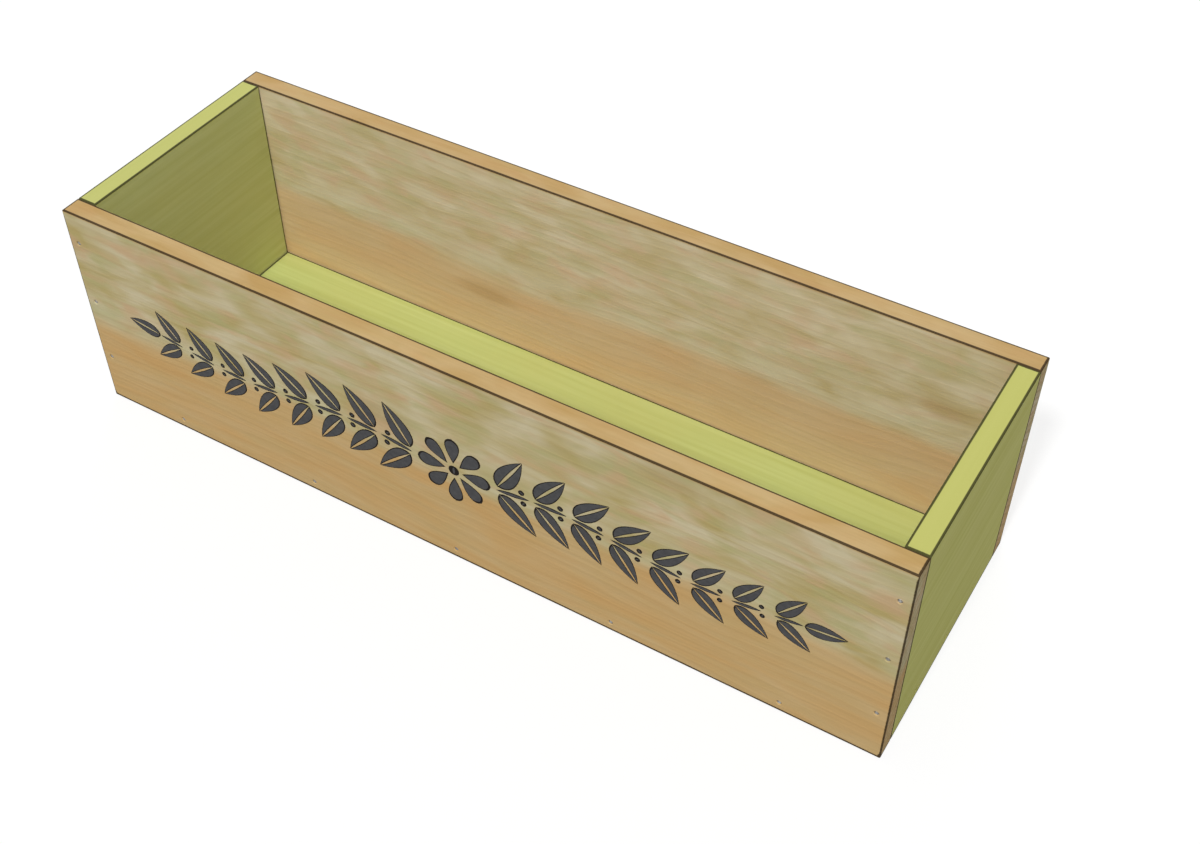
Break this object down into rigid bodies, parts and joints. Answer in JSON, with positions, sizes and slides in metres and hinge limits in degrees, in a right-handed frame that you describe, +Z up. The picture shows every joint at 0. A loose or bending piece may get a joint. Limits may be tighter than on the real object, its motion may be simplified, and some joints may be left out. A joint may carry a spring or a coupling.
{
  "type": "indoor herb planter",
  "caption": "Open rectangular wooden box for growing herbs indoors: plain wood front and back boards nailed over green painted end boards and a green painted bottom.",
  "frame": {"origin": "middle of the underside, on the surface that the box stands on", "axes": "+X along the box towards its right end as seen from the front, +Y from the front board to the back board, +Z up"},
  "size_m": [0.508, 0.165, 0.1397],
  "materials": {
    "natural_wood": "satin",
    "green_painted_wood": "satin",
    "nail_steel": "satin",
    "stencil_paint": "matte"
  },
  "bodies": {
    "root": {"front_board": "natural_wood", "back_board": "natural_wood", "left_end_board": "green_painted_wood", "right_end_board": "green_painted_wood", "bottom_board": "green_painted_wood", "front_left_nails": "nail_steel", "front_right_nails": "nail_steel", "front_bottom_nails": "nail_steel", "back_left_nails": "nail_steel", "back_right_nails": "nail_steel", "back_bottom_nails": "nail_steel", "left_end_nails": "nail_steel", "right_end_nails": "nail_steel"}
  },
  "joints": []
}
